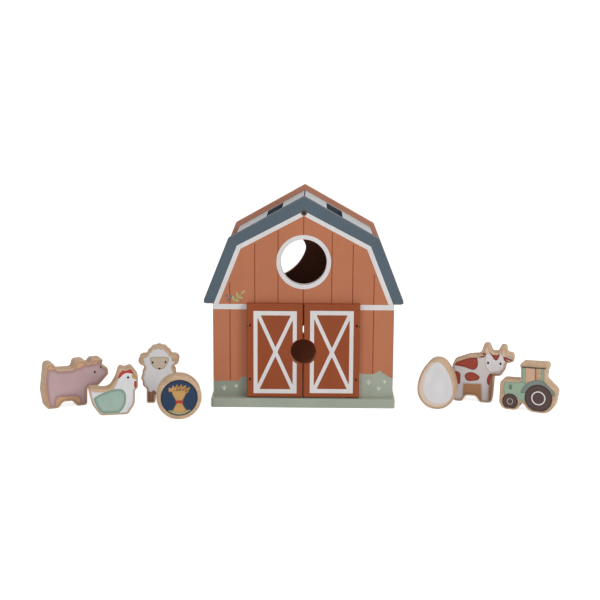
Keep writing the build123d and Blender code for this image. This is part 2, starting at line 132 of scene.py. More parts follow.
class Shader:
    """A material under construction, with short calls for the nodes it needs."""

    def __init__(self, name, roughness=0.5, specular=0.4):
        self.material = bpy.data.materials.new(name)
        self.material.use_nodes = True
        self.nodes = self.material.node_tree.nodes
        self.links = self.material.node_tree.links
        self.bsdf = self.nodes["Principled BSDF"]
        self.bsdf.inputs["Roughness"].default_value = roughness
        self.bsdf.inputs["Specular IOR Level"].default_value = specular
        self.place = self.nodes.new("ShaderNodeTexCoord").outputs["Object"]

    def stretched(self, turn=0, scale=(1, 1, 1)):
        """The object's coordinates, turned about the vertical and scaled."""
        mapping = self.nodes.new("ShaderNodeMapping")
        mapping.vector_type = "POINT"
        mapping.inputs["Rotation"].default_value = (0, 0, math.radians(-turn))
        mapping.inputs["Scale"].default_value = scale
        self.links.new(self.place, mapping.inputs["Vector"])
        return mapping.outputs["Vector"]

    def noise(self, where, scale, detail=3.0, roughness=0.5, distortion=0.0):
        """Soft random values around one half."""
        node = self.nodes.new("ShaderNodeTexNoise")
        node.inputs["Scale"].default_value = scale
        node.inputs["Detail"].default_value = detail
        node.inputs["Roughness"].default_value = roughness
        node.inputs["Distortion"].default_value = distortion
        self.links.new(where, node.inputs["Vector"])
        return node.outputs["Fac"]

    def spread(self, value, low, high, to_low=0.0, to_high=1.0):
        """Maps a value from one range to another, held at both ends."""
        node = self.nodes.new("ShaderNodeMapRange")
        node.interpolation_type = "SMOOTHSTEP"
        limits = {"From Min": low, "From Max": high, "To Min": to_low, "To Max": to_high}
        for key, number in limits.items():
            node.inputs[key].default_value = number
        self.links.new(value, node.inputs["Value"])
        return node.outputs["Result"]

    def math(self, operation, first, second):
        """Arithmetic on two values, which are numbers or sockets."""
        node = self.nodes.new("ShaderNodeMath")
        node.operation = operation
        for socket, value in zip(node.inputs, (first, second)):
            if isinstance(value, (int, float)):
                socket.default_value = value
            else:
                self.links.new(value, socket)
        return node.outputs["Value"]

    def blend(self, factor, first, second):
        """Two colours mixed by a factor; a colour is a tuple or a socket."""
        node = self.nodes.new("ShaderNodeMix")
        node.data_type = "RGBA"
        self.links.new(factor, node.inputs["Factor"])
        for socket, value in ((node.inputs[6], first), (node.inputs[7], second)):
            if isinstance(value, tuple):
                socket.default_value = value
            else:
                self.links.new(value, socket)
        return node.outputs[2]

    def attribute(self, name):
        """A value that the mesh carries at its points."""
        node = self.nodes.new("ShaderNodeAttribute")
        node.attribute_name = name
        return node.outputs["Fac"]

    def split(self, vector):
        """The X, Y and Z of a vector."""
        node = self.nodes.new("ShaderNodeSeparateXYZ")
        self.links.new(vector, node.inputs["Vector"])
        return node.outputs

    def normal(self):
        """The direction that the surface faces."""
        return self.nodes.new("ShaderNodeNewGeometry").outputs["Normal"]

    def tone(self):
        """The colour as it is so far."""
        return self.bsdf.inputs["Base Color"].links[0].from_socket

    def both(self, first, second):
        """The product of two values, which is one where both are one."""
        return self.math("MULTIPLY", first, second)

    def size(self, value):
        """The value without its sign."""
        return self.math("ABSOLUTE", value, 0)

    def above(self, value, limit):
        """One where the value is above the limit, and nought elsewhere."""
        return self.math("GREATER_THAN", value, limit)

    def below(self, value, limit):
        """One where the value is below the limit, and nought elsewhere."""
        return self.math("LESS_THAN", value, limit)

    def colour(self, socket):
        self.links.new(socket, self.bsdf.inputs["Base Color"])

    def roughness(self, socket):
        self.links.new(socket, self.bsdf.inputs["Roughness"])

    def bump(self, height, distance_mm):
        """Relief that the light shows, without a change of shape."""
        node = self.nodes.new("ShaderNodeBump")
        node.inputs["Distance"].default_value = distance_mm * MM
        node.inputs["Strength"].default_value = 1.0
        self.links.new(height, node.inputs["Height"])
        self.links.new(node.outputs["Normal"], self.bsdf.inputs["Normal"])


def shade(colour, factor):
    """The colour, darker or lighter."""
    return tuple(min(1.0, v * factor) for v in colour[:3]) + (1.0,)


def painted_board(name, colour, grain=(1, 1, 0.12)):
    """Satin paint on a board: faint grain under it, mottling and a fine spray texture."""
    s = Shader(name, specular=0.2)
    fibre = s.noise(s.stretched(scale=grain), 420, detail=4, roughness=0.6)
    mottle = s.noise(s.place, 22, detail=4, roughness=0.6)
    spray = s.noise(s.place, 2600, detail=2)
    long_grain = tuple(v if v == 1 else 0.03 for v in grain)
    streak = s.noise(s.stretched(scale=long_grain), 75, detail=3)
    tone = s.blend(s.spread(mottle, 0.3, 0.7), shade(colour, 0.955), shade(colour, 1.04))
    tone = s.blend(s.spread(streak, 0.5, 0.72, 0.0, 0.5), tone, shade(colour, 0.88))
    tone = s.blend(s.spread(fibre, 0.56, 0.78, 0.0, 0.3), tone, shade(colour, 0.84))
    s.colour(tone)
    s.roughness(s.spread(mottle, 0.25, 0.75, 0.42, 0.56))
    s.bump(s.math("ADD", s.math("MULTIPLY", fibre, 0.7), s.math("MULTIPLY", spray, 0.3)), 0.06)
    return s


def bare_wood(name, colour, turn=0, grain=(0.1, 1, 1)):
    """Smooth pale hardwood with soft bands, streaks and short pores along the grain."""
    s = Shader(name, specular=0.2)
    along = s.stretched(turn, grain)
    bands = s.noise(along, 95, detail=5, roughness=0.62, distortion=0.5)
    streaks = s.noise(along, 520, detail=3, roughness=0.6)
    pores = s.noise(along, 1500, detail=1)
    tone = s.blend(s.spread(bands, 0.32, 0.7), shade(colour, 1.07), shade(colour, 0.80))
    tone = s.blend(s.spread(streaks, 0.5, 0.75, 0.0, 0.5), tone, shade(colour, 0.72))
    tone = s.blend(s.spread(pores, 0.66, 0.78, 0.0, 0.45), tone, shade(colour, 0.5))
    s.colour(tone)
    s.roughness(s.spread(streaks, 0.3, 0.7, 0.46, 0.62))
    s.bump(s.math("SUBTRACT", streaks, s.math("MULTIPLY", pores, 0.5)), 0.05)
    return s


def face_paint(name, colour, rim=None, rim_width=1.6, wear=0.25):
    """Brushed paint on a block: a toned rim, thin spots and the wood's grain under it."""
    s = Shader(name, specular=0.2)
    rim = rim or shade(colour, 0.84)
    depth = s.attribute("depth")
    brush = s.noise(s.stretched(scale=(1, 1, 0.35)), 260, detail=4, roughness=0.65)
    mottle = s.noise(s.place, 60, detail=3)
    ragged = s.math("ADD", depth, s.math("MULTIPLY", s.math("SUBTRACT", brush, 0.5), 1.6))
    tone = s.blend(s.spread(mottle, 0.3, 0.7), shade(colour, 0.96), shade(colour, 1.04))
    tone = s.blend(s.spread(brush, 0.58, 0.8, 0.0, wear), tone, rim)
    tone = s.blend(s.spread(ragged, 0.0, rim_width, 0.85, 0.0), tone, rim)
    s.colour(tone)
    s.roughness(s.spread(mottle, 0.3, 0.7, 0.44, 0.6))
    s.bump(brush, 0.05)
    return s


def steel(name, colour, roughness=0.35):
    """Drawn steel with fine lines and small dull spots."""
    s = Shader(name, roughness=roughness)
    s.bsdf.inputs["Metallic"].default_value = 1.0
    lines = s.noise(s.stretched(scale=(1, 1, 0.15)), 3000, detail=2)
    dull = s.noise(s.place, 300, detail=3)
    s.colour(s.blend(s.spread(dull, 0.35, 0.7), colour, shade(colour, 0.72)))
    s.roughness(s.spread(dull, 0.3, 0.7, roughness, roughness + 0.18))
    s.bump(lines, 0.02)
    return s


# The barn's colours
TERRACOTTA = linear(189, 119, 86)
# Painted shade for upright faces turned from the front, such as the grooves' sides
GROOVE_SHADE = linear(158, 90, 60)
# Painted shade for faces inside the barn
INDOOR_SHADE = linear(106, 60, 44)
BAND = linear(87, 101, 111)
RUST = linear(149, 74, 40)
WHITE = linear(226, 223, 223)
SAGE = linear(165, 173, 158)
ROOF_GREY = linear(202, 206, 207)
# Painted shade for the roof boards' edge faces, in the slots and the ridge gap
EDGE_SHADE = linear(66, 74, 86)
PALE_WOOD = linear(208, 176, 144)


def inner_face(s, axis):
    """One on faces well off the barn's middle that look inwards along the axis, else nought."""
    along = s.both(s.split(s.place)[axis], s.split(s.normal())[axis])
    square = s.above(s.size(s.split(s.normal())[axis]), 0.9)
    return s.both(s.below(along, -INDOORS * MM), square)


def under_roof(s):
    """One on the part of an end board that lies below the middle of the roof boards."""
    across, _, up = s.split(s.place)
    across = s.size(across)
    shallow = s.math("ADD", up, s.both(across, math.tan(UPPER)))
    steep = s.math("ADD", up, s.both(across, math.tan(LOWER)))
    shallow_limit = PEAK_Z - ROOF_MIDDLE / math.cos(UPPER)
    steep_limit = KNEE[1] + KNEE[0] * math.tan(LOWER) - ROOF_MIDDLE / math.cos(LOWER)
    return s.both(s.below(shallow, shallow_limit * MM), s.below(steep, steep_limit * MM))


def grow_grass(s):
    """Paints grass up to a wavy height round the walls that the photo doesn't show."""
    up = s.split(s.place)["Z"]
    wave = s.noise(s.stretched(scale=(1, 1, 0)), 34, detail=2)
    over_wave = s.math("SUBTRACT", up, s.both(wave, GRASS_WAVE * MM))
    s.colour(s.blend(s.below(over_wave, GRASS_LEAST * MM), s.tone(), SAGE))


def front_wall_paint():
    """Terracotta with brown painted shade on upright faces turned from the front, such as the grooves'
    sides. The band, trim and grass are carried over the edges, and faces inside under the roof carry
    painted shade.
    """
    s = painted_board("front_wall_paint", TERRACOTTA)
    across, _, up = s.split(s.place)
    across = s.size(across)
    _, facing, rising = s.split(s.normal())
    turned = s.below(s.size(facing), 0.96)
    sloping = s.above(s.size(rising), 0.1)
    upright = s.below(s.size(rising), 0.1)
    over_eave = s.above(up, BAND_UNDER_EAVE * MM)
    beside = s.below(across, RING_REACH * MM)
    not_above = s.below(up, (WINDOW_Z + RING_REACH) * MM)
    not_below = s.above(up, (WINDOW_Z - RING_REACH) * MM)
    by_window = s.both(beside, s.both(not_above, not_below))
    at_side = s.above(across, SIDE_EDGE * MM)
    in_grass = s.below(up, GRASS_AT_EDGE * MM)
    in_trim = s.both(s.above(up, TRIM_LOW * MM), s.below(up, TRIM_HIGH * MM))
    # Painted shade on upright faces turned from the front, such as the grooves' sides
    s.colour(s.blend(s.both(turned, upright), s.tone(), GROOVE_SHADE))
    s.colour(s.blend(s.both(turned, s.both(sloping, over_eave)), s.tone(), BAND))
    s.colour(s.blend(s.both(turned, by_window), s.tone(), WHITE))
    s.colour(s.blend(s.both(at_side, in_grass), s.tone(), SAGE))
    s.colour(s.blend(s.both(at_side, in_trim), s.tone(), WHITE))
    inside = inner_face(s, "Y")
    s.colour(s.blend(inside, s.tone(), BAND))
    # Painted shade on the inner face under the roof
    s.colour(s.blend(s.both(inside, under_roof(s)), s.tone(), INDOOR_SHADE))
    return s


def rear_wall_paint():
    """Terracotta, duller where the board stands up over the roof. Inside the barn it carries painted
    shade, which turns to painted light towards its foot.
    """
    s = painted_board("rear_wall_paint", TERRACOTTA)
    dull = linear(176, 124, 102)
    # Painted light for the foot of the inner face
    lit_foot = linear(208, 122, 90)
    grow_grass(s)
    inside = inner_face(s, "Y")
    height = s.spread(s.split(s.place)["Z"], 40 * MM, 120 * MM)
    s.colour(s.blend(inside, s.tone(), dull))
    # Painted light at the foot of the inner face under the roof, rising into painted shade
    indoor_light_and_shade = s.blend(height, lit_foot, INDOOR_SHADE)
    s.colour(s.blend(s.both(inside, under_roof(s)), s.tone(), indoor_light_and_shade))
    return s


def side_wall_paint():
    """Terracotta with grass outside, and painted shade on its faces inside the barn."""
    s = painted_board("side_wall_paint", TERRACOTTA)
    grow_grass(s)
    # Painted shade on the inner face
    s.colour(s.blend(inner_face(s, "X"), s.tone(), INDOOR_SHADE))
    return s


def roof_board_paint(name, least_rise):
    """Pale grey, with slate-coloured painted shade on the faces that look up less than the board's upper
    face, its edges.
    """
    s = painted_board(name, ROOF_GREY, grain=(1, 0.12, 1))
    rising = s.split(s.normal())["Z"]
    # Painted shade on the edge faces
    s.colour(s.blend(s.below(rising, least_rise), s.tone(), EDGE_SHADE))
    return s


def assign(shader, *nodes):
    """Gives CAD nodes their material."""
    for node in nodes:
        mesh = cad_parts[node].data
        mesh.materials.clear()
        mesh.materials.append(shader.material)


# Loops: closed lines of points, in millimetres across and up
def smooth(points, steps=8):
    """A closed smooth line through a few points."""
    p = np.array(points, float)
    before, after, later = np.roll(p, 1, 0), np.roll(p, -1, 0), np.roll(p, -2, 0)
    line = []
    for k in range(len(p)):
        for t in np.arange(steps) / steps:
            line.append(0.5 * (
                2 * p[k] + (after[k] - before[k]) * t
                + (2 * before[k] - 5 * p[k] + 4 * after[k] - later[k]) * t**2
                + (3 * p[k] - before[k] - 3 * after[k] + later[k]) * t**3
            ))
    return [np.array(line)]


def polygon(*points):
    """A closed line with straight sides."""
    return [np.array(points, float)]


def rectangle(left, right, bottom, top):
    """A rectangle by its sides."""
    return polygon((left, bottom), (right, bottom), (right, top), (left, top))


def ellipse(x, z, wide, high=None, turn=0, count=40):
    """An ellipse by its half width and half height, or a circle."""
    high = high or wide
    t = np.linspace(0, 2 * math.pi, count, endpoint=False)
    c, s = math.cos(math.radians(turn)), math.sin(math.radians(turn))
    a, b = wide * np.cos(t), high * np.sin(t)
    return [np.stack([x + a * c - b * s, z + a * s + b * c], 1)]


def bar(start, end, width):
    """A straight stroke with square ends."""
    a, b = np.array(start, float), np.array(end, float)
    side = np.array([a[1] - b[1], b[0] - a[0]]) / np.linalg.norm(b - a) * width / 2
    return [np.array([a + side, a - side, b - side, b + side])]


def distance_to_sides(sides, x, z):
    """Distance from points to the sides of closed shapes, above zero inside them."""
    best = np.full(x.shape, 1e9)
    inside = np.zeros(x.shape, bool)
    for (ax, az), (bx, bz) in sides:
        dx, dz = bx - ax, bz - az
        t = np.clip(((x - ax) * dx + (z - az) * dz) / max(dx * dx + dz * dz, 1e-12), 0, 1)
        best = np.minimum(best, (x - ax - t * dx) ** 2 + (z - az - t * dz) ** 2)
        if az != bz:
            inside ^= ((az > z) != (bz > z)) & (x < ax + (z - az) * dx / dz)
    return np.where(inside, np.sqrt(best), -np.sqrt(best))


def distance(loops, x, z):
    """Distance from points to the loops, above zero inside them."""
    sides = [side for loop in loops for side in zip(loop, np.roll(loop, -1, 0))]
    return distance_to_sides(sides, x, z)


def grid(loops, step, margin):
    """A grid of points that covers the loops."""
    points = np.concatenate(loops)
    low, high = points.min(0) - margin, points.max(0) + margin
    return np.meshgrid(np.arange(low[0], high[0], step), np.arange(low[1], high[1], step))


def contours(field, x, z):
    """Closed lines where the field crosses zero. Inside it is above zero."""
    inside = field > 0
    onward = {}
    mixed = inside[:-1, :-1].astype(int) + inside[1:, :-1] + inside[:-1, 1:] + inside[1:, 1:]
    for i, j in zip(*np.where((mixed > 0) & (mixed < 4))):
        ring = [(i, j), (i, j + 1), (i + 1, j + 1), (i + 1, j)]
        sides = [(ring[k], ring[(k + 1) % 4]) for k in range(4)]
        leaving = [k for k, (a, b) in enumerate(sides) if inside[a] and not inside[b]]
        entering = [k for k, (a, b) in enumerate(sides) if inside[b] and not inside[a]]
        for k in leaving:
            back = max(entering, key=lambda m: (m - k) % 4)
            onward[frozenset(sides[k])] = frozenset(sides[back])
    loops = []
    while onward:
        start, here = onward.popitem()
        line = [start]
        while here != start:
            line.append(here)
            here = onward.pop(here)
        points = []
        for a, b in (tuple(side) for side in line):
            t = field[a] / (field[a] - field[b])
            points.append((x[a] + t * (x[b] - x[a]), z[a] + t * (z[b] - z[a])))
        loops.append(np.array(points))
    return [loop for loop in loops if len(loop) > SPECK]


def combined(operation, first, second, step=LOOP_STEP):
    """What two sets of loops share, what they cover joined, or the first less the second."""
    x, z = grid(first + second, step, 2)
    a, b = distance(first, x, z), distance(second, x, z)
    fields = {"shared": np.minimum(a, b), "joined": np.maximum(a, b), "less": np.minimum(a, -b)}
    return contours(fields[operation], x, z)


def inset(loops, amount):
    """The loops, this far inwards."""
    x, z = grid(loops, LOOP_STEP, 2)
    return contours(distance(loops, x, z) - amount, x, z)


def mirrored(loops):
    """The loops with left and right swapped."""
    return [loop * np.array([-1, 1]) for loop in loops]


def moved(loops, across, up):
    """The loops, shifted on their face."""
    return [loop + np.array([across, up]) for loop in loops]


# Paint
def paint(name, loops, face, body, shader, layer=1, step=SHEET_STEP):
    """A layer of paint on a face: a thin sheet within the loops that thins out at its rim."""
    rim = [tuple(point) for loop in loops for point in loop]
    edges, first = [], 0
    for loop in loops:
        count = len(loop)
        edges += [(first + k, first + (k + 1) % count) for k in range(count)]
        first += count
    x, z = grid(loops, step, 0)
    deep = distance(loops, x, z) > step * 0.6
    points = rim + list(zip(x[deep], z[deep]))
    within_rim, same_point = 1, 1e-4
    vectors = [Vector(point) for point in points]
    flat, _, triangles, *_ = delaunay_2d_cdt(vectors, edges, [], within_rim, same_point)
    flat = np.array([tuple(v) for v in flat])
    middles = np.array([flat[list(t)].mean(0) for t in triangles])
    kept = distance(loops, middles[:, 0], middles[:, 1]) > 0
    depth = np.clip(distance(loops, flat[:, 0], flat[:, 1]), 0, None)
    lift = RIM_LIFT + LAYER_LIFT * (layer - 1) + RIM_RISE * np.clip(depth / RIM_WIDTH, 0, 1)
    places = [
        (face.origin + face.across * a + Vector((0, 0, b)) + face.outwards * h) * MM
        for (a, b), h in zip(flat, lift)
    ]
    mesh = bpy.data.meshes.new(name)
    mesh.from_pydata(places, [], [tuple(t) for t, keep in zip(triangles, kept) if keep])
    mesh.attributes.new("depth", "FLOAT", "POINT").data.foreach_set("value", depth)
    mesh.polygons.foreach_set("use_smooth", [True] * len(mesh.polygons))
    if mesh.polygons and mesh.polygons[0].normal.dot(face.outwards) < 0:
        mesh.flip_normals()
    mesh.materials.append(shader.material)
    sheet = bpy.data.objects.new(name, mesh)
    scene.collection.objects.link(sheet)
    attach(sheet, body)


# Barn
def facing_front(y):
    """An upright face that looks to the front."""
    return Face(Vector((0, y, 0)), Vector((1, 0, 0)), Vector((0, -1, 0)))


FRONT = facing_front(FRONT_Y)
DOORS = facing_front(DOOR_Y)


def paint_boards():
    """Gives the CAD's boards, screws and pins their materials."""
    assign(front_wall_paint(), "front_wall")
    assign(rear_wall_paint(), "rear_wall")
    assign(side_wall_paint(), "left_wall", "right_wall")
    assign(painted_board("base_paint", SAGE, grain=(0.12, 1, 1)), "base_plate")
    assign(roof_board_paint("upper_roof_paint", least_rise=0.7), "left_upper_roof", "right_upper_roof")
    assign(roof_board_paint("lower_roof_paint", least_rise=0.2), "left_lower_roof", "right_lower_roof")
    assign(bare_wood("rail_wood", PALE_WOOD, grain=(1, 0.1, 1)), "ridge_rail")
    assign(painted_board("door_paint", RUST), "left_door", "right_door")
    bright_steel = steel("bright_steel", linear(168, 166, 162))
    assign(bright_steel, "base_screws", "left_hinge_pin", "right_hinge_pin")
    assign(steel("bronze", linear(150, 92, 62)), "left_hinge_eyes", "right_hinge_eyes")
    assign(steel("dark_steel", linear(84, 74, 66)), "ridge_screws")


def roof_line(at_ridge, at_knee, low):
    """The gable outline's right half, this far inside, from the ridge down to a height."""
    reach = at_knee / (1 + math.cos(LOWER - UPPER))
    knee_x = KNEE[0] - reach * (math.sin(UPPER) + math.sin(LOWER))
    knee_z = KNEE[1] - reach * (math.cos(UPPER) + math.cos(LOWER))
    return [
        (0, PEAK_Z - at_ridge / math.cos(UPPER)), (knee_x, knee_z),
        (knee_x + (knee_z - low) / math.tan(LOWER), low),
    ]


def strip(outer, inner):
    """The part between two roof lines, on both sides."""
    left_inner = [(-x, z) for x, z in inner[1:]]
    left_outer = [(-x, z) for x, z in reversed(outer[1:])]
    return [np.array([*outer, *reversed(inner), *left_inner, *left_outer], float)]


def paint_gable():
    """The band along the roof line, the white trim inside it and the window's ring."""
    band_paint = painted_board("band_paint", BAND)
    trim_paint = painted_board("trim_paint", WHITE)
    screw_gap = ellipse(0, SCREW_Z, SCREW_GAP_R)
    band = strip(roof_line(*BAND_OUTER, BAND_LOW), roof_line(*BAND_INNER, BAND_LOW))
    band = combined("less", band, screw_gap)
    paint("band", band, FRONT, "barn", band_paint, step=3)
    trim = strip(roof_line(*BAND_INNER, TRIM_HIGH), roof_line(*TRIM_INNER, TRIM_HIGH))
    trim = combined("less", trim, screw_gap)
    paint("gable_trim", trim, FRONT, "barn", trim_paint, step=3)
    for side, label in ((-1, "left"), (1, "right")):
        loops = rectangle(*sorted((side * TRIM_START, side * TRIM_END)), TRIM_LOW, TRIM_HIGH)
        paint(f"{label}_eave_trim", loops, FRONT, "barn", trim_paint, layer=2, step=3)
    ring = ellipse(0, WINDOW_Z, RING_OUTER, count=96) + ellipse(0, WINDOW_Z, RING_INNER, count=96)
    paint("window_ring", ring, FRONT, "barn", trim_paint, step=2)


# Grass by its upper edge, tufts by foot and size, leaves by middle and turn, and berries
GRASS_LEFT = [
    (-99.2, 26.5), (-90, 27.2), (-82.4, 27.4), (-74, 26.9), (-71.4, 28.6), (-69.4, 31.6),
    (-63.5, 32.4), (-55, 33.5),
]
GRASS_RIGHT = [
    (55, 37.5), (64.1, 36.8), (72.2, 35.9), (79.6, 36.6), (84, 39.4), (86.4, 40.2),
    (88.5, 37.6), (91, 36.0), (95, 33.4), (99.2, 31.6),
]
TUFTS = [(-88, 16.5, 1.0), (-74.5, 19.5, 0.7), (73, 24, 1.0), (84.5, 17.5, 0.8), (91, 26, 0.6)]
LEAVES = [
    (-77.5, 121.5, 95), (-73.5, 118.6, -8), (-73.2, 125.4, 88), (-69.2, 121.8, -2),
    (-66.6, 128.2, 42),
]
BERRIES = [(-83.2, 119.5), (-80.6, 123.4), (-84.6, 123.8)]


def paint_grass():
    """Grass beside the doors, with painted shade on the left and a little painted light on the right, and
    small pale tufts in it.
    """
    chalk_paint = painted_board("chalk_paint", linear(214, 214, 200))
    # The left grass is darker as painted shade, the right a little lighter as painted light
    for label, edge, tone in (("left", GRASS_LEFT, 0.8), ("right", GRASS_RIGHT, 1.04)):
        loops = polygon((edge[-1][0], GRASS_FOOT), (edge[0][0], GRASS_FOOT), *edge)
        grass_light_and_shade_paint = painted_board(f"{label}_grass_light_and_shade_paint", shade(SAGE, tone))
        paint(f"{label}_grass", loops, FRONT, "barn", grass_light_and_shade_paint, step=3)
    thick = 0.9
    for k, (x, z, size) in enumerate(TUFTS):
        tip = z + 4.6 * size
        spread = 2.6 * size
        outer_blades = bar((x, z), (x - spread, tip), thick) + bar((x, z), (x + spread, tip), thick)
        middle_blade = bar((x, z - 0.4), (x, z + 6.0 * size), thick)
        blades = combined("joined", outer_blades, middle_blade, FINE_STEP)
        paint(f"tuft_{k}", blades, FRONT, "barn", chalk_paint, layer=2, step=0.6)


def paint_sprig():
    """A leafy sprig and three berries at the left eave."""
    sprig_paint = painted_board("sprig_paint", linear(176, 178, 120))
    berry_paint = painted_board("berry_paint", linear(112, 116, 124))
    sprig = bar((-78, 117.5), (-68, 126), 0.8)
    for x, z, turn in LEAVES:
        sprig = combined("joined", sprig, ellipse(x, z, 2.7, 1.3, turn, count=24), FINE_STEP)
    paint("sprig", sprig, FRONT, "barn", sprig_paint, layer=2, step=0.8)
    for k, (x, z) in enumerate(BERRIES):
        berry = ellipse(x, z, 1.5, count=24)
        paint(f"berry_{k}", berry, FRONT, "barn", berry_paint, layer=2, step=0.6)


def paint_socket():
    """The ridge screw's hexagonal socket, drawn as a dark hexagon of painted shade on its head."""
    head = facing_front(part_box("ridge_screws")[0][1] / MM)
    socket = ellipse(0, SCREW_Z, 1.5, count=6)
    # Painted shade where the socket is
    socket_shade_paint = painted_board("socket_shade_paint", linear(22, 18, 16))
    paint("screw_socket", socket, head, "barn", socket_shade_paint, step=0.6)


# Doors: each frame's left, right, low and high edge, and how far the crossed braces stand
# in from its left side, at the upper and at the lower end
DOOR_FRAMES = {
    "left": (-54.8, -7.1, 15.7, 108.8, 1.3, 0.0),
    "right": (7.5, 55.3, 16.3, 109.4, 0.3, 0.9),
}
STILE = 4.4
RAIL = 4.8
BRACE = 4.1
HOLE_MARGIN = 1.2


def paint_doors():
    """White frames with crossed braces, cut away round the finger hole."""
    door_trim = painted_board("door_trim_paint", WHITE)
    finger_hole = ellipse(0, HAND_HOLE_Z, HAND_HOLE_R + HOLE_MARGIN, count=72)
    for label, (left, right, low, high, top_in, foot_in) in DOOR_FRAMES.items():
        x0, x1 = left + STILE, right - STILE
        z0, z1 = low + RAIL, high - RAIL
        rising = bar((x0 + foot_in, z0), (x1, z1), BRACE)
        falling = bar((x0 + top_in, z1), (x1, z0), BRACE)
        braces = combined("joined", rising, falling)
        braces = combined("shared", braces, rectangle(x0 - 1, x1 + 1, z0 - 1, z1 + 1))
        border = combined("less", rectangle(left, right, low, high), rectangle(x0, x1, z0, z1))
        bars = combined("less", combined("joined", border, braces), finger_hole)
        paint(f"{label}_door_frame", bars, DOORS, f"{label}_door", door_trim, step=2)


# Blocks
def flat_face(node, towards):
    """The flat front (-1) or back (1) of a block: its place, and its outline as loops."""
    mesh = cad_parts[node].data
    facing = [p for p in mesh.polygons if p.normal.y * towards > 0.7 and abs(p.normal.z) < 0.01]
    largest = max(facing, key=lambda p: p.area)
    outwards = Vector((largest.normal.x, largest.normal.y, 0)).normalized()
    across = Vector((-outwards.y, outwards.x, 0))
    depth = outwards.dot(largest.center) / MM
    flat = [p for p in facing if abs(outwards.dot(p.center) / MM - depth) < 0.02]
    sides = set()
    for p in flat:
        corners = [mesh.vertices[k].co / MM for k in p.vertices]
        corners = [(round(across.dot(c), 2), round(c.z, 2)) for c in corners]
        sides.update(zip(corners, corners[1:] + corners[:1]))
    rim = [(a, b) for a, b in sides if (b, a) not in sides and a != b]
    reach = [a[0] for a, b in rim]
    middle = (min(reach) + max(reach)) / 2
    rim = [((a[0] - middle, a[1]), (b[0] - middle, b[1])) for a, b in rim]
    x, z = grid([np.array([a for a, b in rim])], 0.4, 2)
    outline = contours(distance_to_sides(rim, x, z), x, z)
    return Face(across * middle + outwards * depth, across, outwards), outline


class Block:
    """One loose block: its wood, and paint on its front and the same on its back."""

    def __init__(self, node):
        self.node = node
        self.name = node.split("_")[0]
        self.insets = {}
        self.front, self.outline = flat_face(node, -1)
        self.back, _ = flat_face(node, 1)
        turn = math.degrees(math.atan2(self.front.across.y, self.front.across.x))
        assign(bare_wood(f"{self.name}_wood", PALE_WOOD, turn), node)

    def area(self, margin):
        """The block's outline, this far in."""
        if margin not in self.insets:
            self.insets[margin] = inset(self.outline, margin)
        return self.insets[margin]

    def inside(self, loops, margin=0.5, step=LOOP_STEP):
        """The part of the loops that is this far within the block's outline."""
        return combined("shared", loops, self.area(margin), step)

    def paint(self, label, loops, shader, slot="white_paint", layer=1, step=SHEET_STEP):
        """Paints the front, and the back as its mirror image."""
        name = f"{self.name}_{label}"
        paint(f"{name}_front", loops, self.front, self.node, shader, layer, step)
        paint(f"{name}_back", mirrored(loops), self.back, self.node, shader, layer, step)

    def dot(self, label, x, z, wide, high, shader, layer, turn=0):
        """A small round or oval dab, such as an eye."""
        self.paint(label, ellipse(x, z, wide, high, turn), shader, layer=layer, step=0.5)


# Paints that several blocks share
white_face = face_paint("white_face_paint", linear(228, 226, 228), linear(198, 192, 188))
eye_paint = face_paint("eye_paint", linear(48, 42, 42), wear=0.1)
red_paint = face_paint("red_paint", linear(188, 66, 64), linear(150, 44, 48), 1.0, wear=0.4)
ochre_paint = face_paint("ochre_paint", linear(200, 158, 98), linear(166, 118, 62), 1.0, wear=0.5)


def paint_pig():
    """A warm stain on the wood's face, the pink skin over it and two eyes."""
    pig = Block("pig_block")
    pig_pink = face_paint("pig_paint", linear(198, 169, 171), linear(172, 130, 128), 5.0, wear=0.3)
    stain = face_paint("wood_stain", linear(212, 170, 134), linear(176, 130, 102), 2.0, wear=0.5)
    skin = smooth([
        (-32.5, 43.5), (-21, 44), (-9, 43.1), (0, 42.9), (6.3, 44), (10.4, 46.9), (14.1, 47.6),
        (19, 46.2), (22.6, 46.4), (26, 48.5), (31, 47.5), (31, 44), (36, 40), (37.5, 33), (34, 26),
        (27, 20), (20, 19), (15, 15), (13.5, 6), (12.5, -2), (4.6, -2), (3.4, 4), (3.2, 8.3),
        (-1.2, 11.3), (-12.4, 12.2), (-20.4, 12.3), (-23.0, 9.5), (-23.4, 3), (-22, -2),
        (-28.5, -2), (-31.4, 6), (-33.2, 18), (-33.8, 32),
    ])
    pig.paint("stain", pig.area(0.3), stain, "bare_wood")
    pig.paint("skin", pig.inside(skin), pig_pink, "pig_paint", layer=2)
    pig.dot("eye", 21.1, 36.9, 1.1, 1.5, eye_paint, 3, turn=12)
    pig.dot("far_eye", 28, 41.9, 0.9, 1.1, eye_paint, 3)


